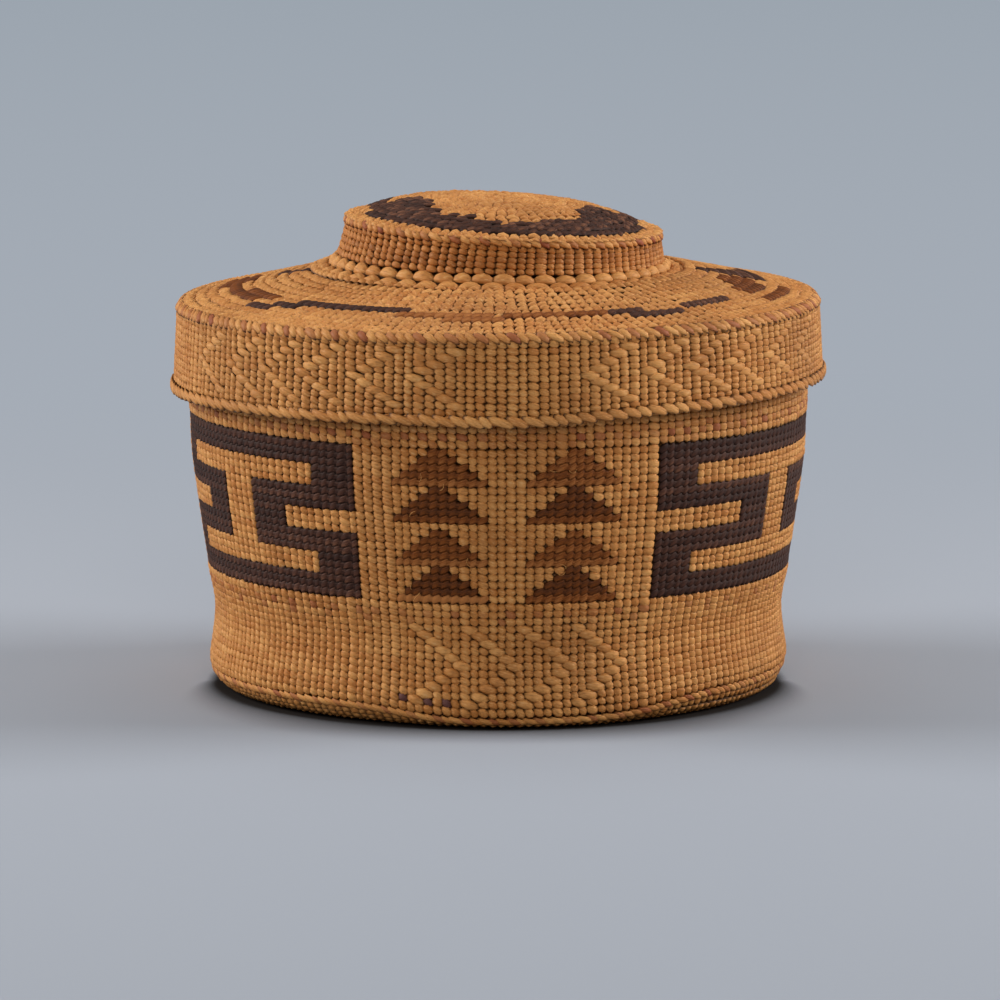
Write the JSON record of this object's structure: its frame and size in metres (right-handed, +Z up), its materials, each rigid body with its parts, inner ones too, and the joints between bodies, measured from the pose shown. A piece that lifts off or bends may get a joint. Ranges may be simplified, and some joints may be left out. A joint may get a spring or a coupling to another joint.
{
  "type": "lidded twined spruce root basket",
  "caption": "Round twined root basket with dyed overlay figures, a drop-over lid and a wide hollow rattle knob.",
  "frame": {"origin": "centre of the foot ring, on the surface that the basket stands on", "axes": "+Z up along the basket's axis, -Y towards the front between the two pictured triangle stacks"},
  "size_m": [0.152, 0.152, 0.1136],
  "materials": {
    "spruce_root": "dry twined spruce root, golden tan",
    "dark_overlay": "overlay strands dyed near black",
    "brown_overlay": "overlay strands dyed brown",
    "pebble": "rounded beach pebble"
  },
  "bodies": {
    "basket": {"base": "spruce_root", "foot_ring": "spruce_root", "heel_ridge": "spruce_root", "lower_wall": "spruce_root", "figure_wall": "spruce_root", "upper_wall": "spruce_root", "body_rim": "spruce_root", "key_figure_right": "dark_overlay", "key_figure_back": "dark_overlay", "key_figure_left": "dark_overlay", "triangles_front_left_upper": "brown_overlay", "triangles_front_left_lower": "brown_overlay", "triangles_front_right_upper": "brown_overlay", "triangles_front_right_lower": "brown_overlay", "triangles_back_right_left_upper": "brown_overlay", "triangles_back_right_left_lower": "brown_overlay", "triangles_back_right_right_upper": "brown_overlay", "triangles_back_right_right_lower": "brown_overlay", "triangles_back_left_left_upper": "brown_overlay", "triangles_back_left_left_lower": "brown_overlay", "triangles_back_left_right_upper": "brown_overlay", "triangles_back_left_right_lower": "brown_overlay"},
    "lid": {"lid_rim_braid": "spruce_root", "lid_flange": "spruce_root", "lid_edge_ridge": "spruce_root", "lid_top": "spruce_root", "lid_figure_dark_front_left": "dark_overlay", "lid_figure_brown_front_left": "brown_overlay", "lid_figure_brown_front_right": "brown_overlay", "lid_figure_dark_front_right": "dark_overlay", "lid_figure_dark_right": "dark_overlay", "lid_figure_brown_right": "brown_overlay", "lid_figure_brown_right_edge": "brown_overlay", "lid_figure_dark_back_right": "dark_overlay", "lid_figure_brown_back": "brown_overlay", "lid_figure_dark_back": "dark_overlay", "lid_figure_brown_left": "brown_overlay", "lid_figure_dark_left": "dark_overlay", "knob_neck": "spruce_root", "knob_wall": "spruce_root", "knob_edge_ridge": "spruce_root", "knob_top": "spruce_root", "knob_ring": "dark_overlay", "rattle_floor": "spruce_root"},
    "loose_pebble_1": {"pebble_1": "pebble"},
    "loose_pebble_2": {"pebble_2": "pebble"},
    "loose_pebble_3": {"pebble_3": "pebble"},
    "loose_pebble_4": {"pebble_4": "pebble"},
    "loose_pebble_5": {"pebble_5": "pebble"},
    "loose_pebble_6": {"pebble_6": "pebble"},
    "loose_pebble_7": {"pebble_7": "pebble"}
  },
  "joints": [
    {"name": "lid_lift", "type": "slide", "parent": "basket", "child": "lid", "axis": [0, 0, 1], "range_m": [0, 0.06]},
    {"name": "pebble_hop_1", "type": "slide", "parent": "lid", "child": "loose_pebble_1", "axis": [0, 0, 1], "range_m": [0, 0.006]},
    {"name": "pebble_hop_2", "type": "slide", "parent": "lid", "child": "loose_pebble_2", "axis": [0, 0, 1], "range_m": [0, 0.006]},
    {"name": "pebble_hop_3", "type": "slide", "parent": "lid", "child": "loose_pebble_3", "axis": [0, 0, 1], "range_m": [0, 0.006]},
    {"name": "pebble_hop_4", "type": "slide", "parent": "lid", "child": "loose_pebble_4", "axis": [0, 0, 1], "range_m": [0, 0.006]},
    {"name": "pebble_hop_5", "type": "slide", "parent": "lid", "child": "loose_pebble_5", "axis": [0, 0, 1], "range_m": [0, 0.006]},
    {"name": "pebble_hop_6", "type": "slide", "parent": "lid", "child": "loose_pebble_6", "axis": [0, 0, 1], "range_m": [0, 0.006]},
    {"name": "pebble_hop_7", "type": "slide", "parent": "lid", "child": "loose_pebble_7", "axis": [0, 0, 1], "range_m": [0, 0.006]}
  ]
}
